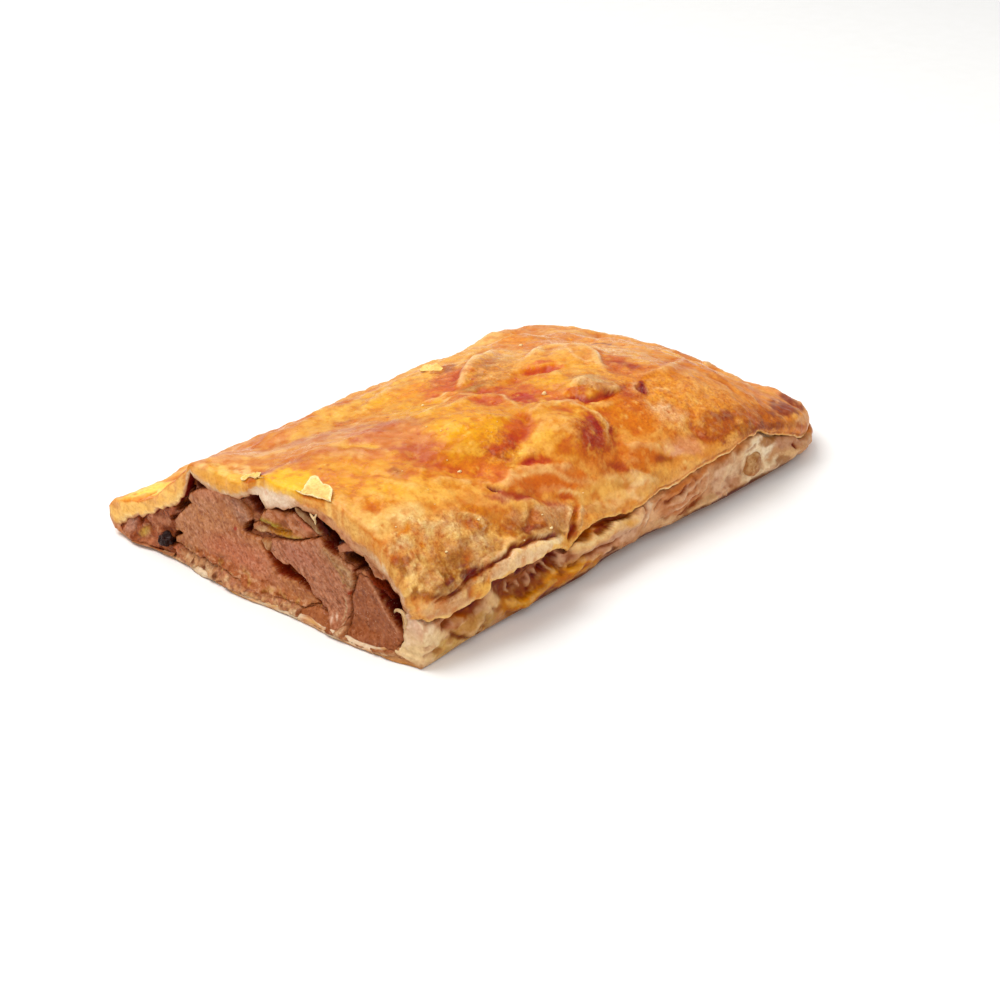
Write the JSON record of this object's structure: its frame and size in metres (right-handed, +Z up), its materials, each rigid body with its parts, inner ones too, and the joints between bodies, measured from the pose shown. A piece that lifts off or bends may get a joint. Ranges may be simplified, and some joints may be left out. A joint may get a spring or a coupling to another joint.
{
  "type": "apple strudel",
  "caption": "Wide, low apple strudel with a browned, crowned crust, cut straight across at one end to show wedges of apple and closed at the other.",
  "frame": {"origin": "middle of the bounding box, at the bottom, on the surface that the strudel rests on", "axes": "+X along the strudel, from the cut face to the closed end; +Y across it, from the upright side with the seam to the thin wing; +Z up"},
  "size_m": [0.2302, 0.1538, 0.0472],
  "materials": {
    "pastry": "baked dough, golden brown with a thin egg glaze",
    "filling": "moist cooked apple and juice",
    "apple": "moist cooked apple flesh, freshly cut",
    "apple_peel": "moist cooked apple with a strip of green peel",
    "raisin": "wet dark raisin"
  },
  "bodies": {
    "root": {"pastry": "pastry", "apple_filling": "filling", "apple_wedge_left": "apple", "apple_wedge_middle": "apple", "apple_wedge_right": "apple", "apple_slice_green_peel": "apple_peel", "apple_piece_side": "apple", "raisin": "raisin"}
  },
  "joints": []
}
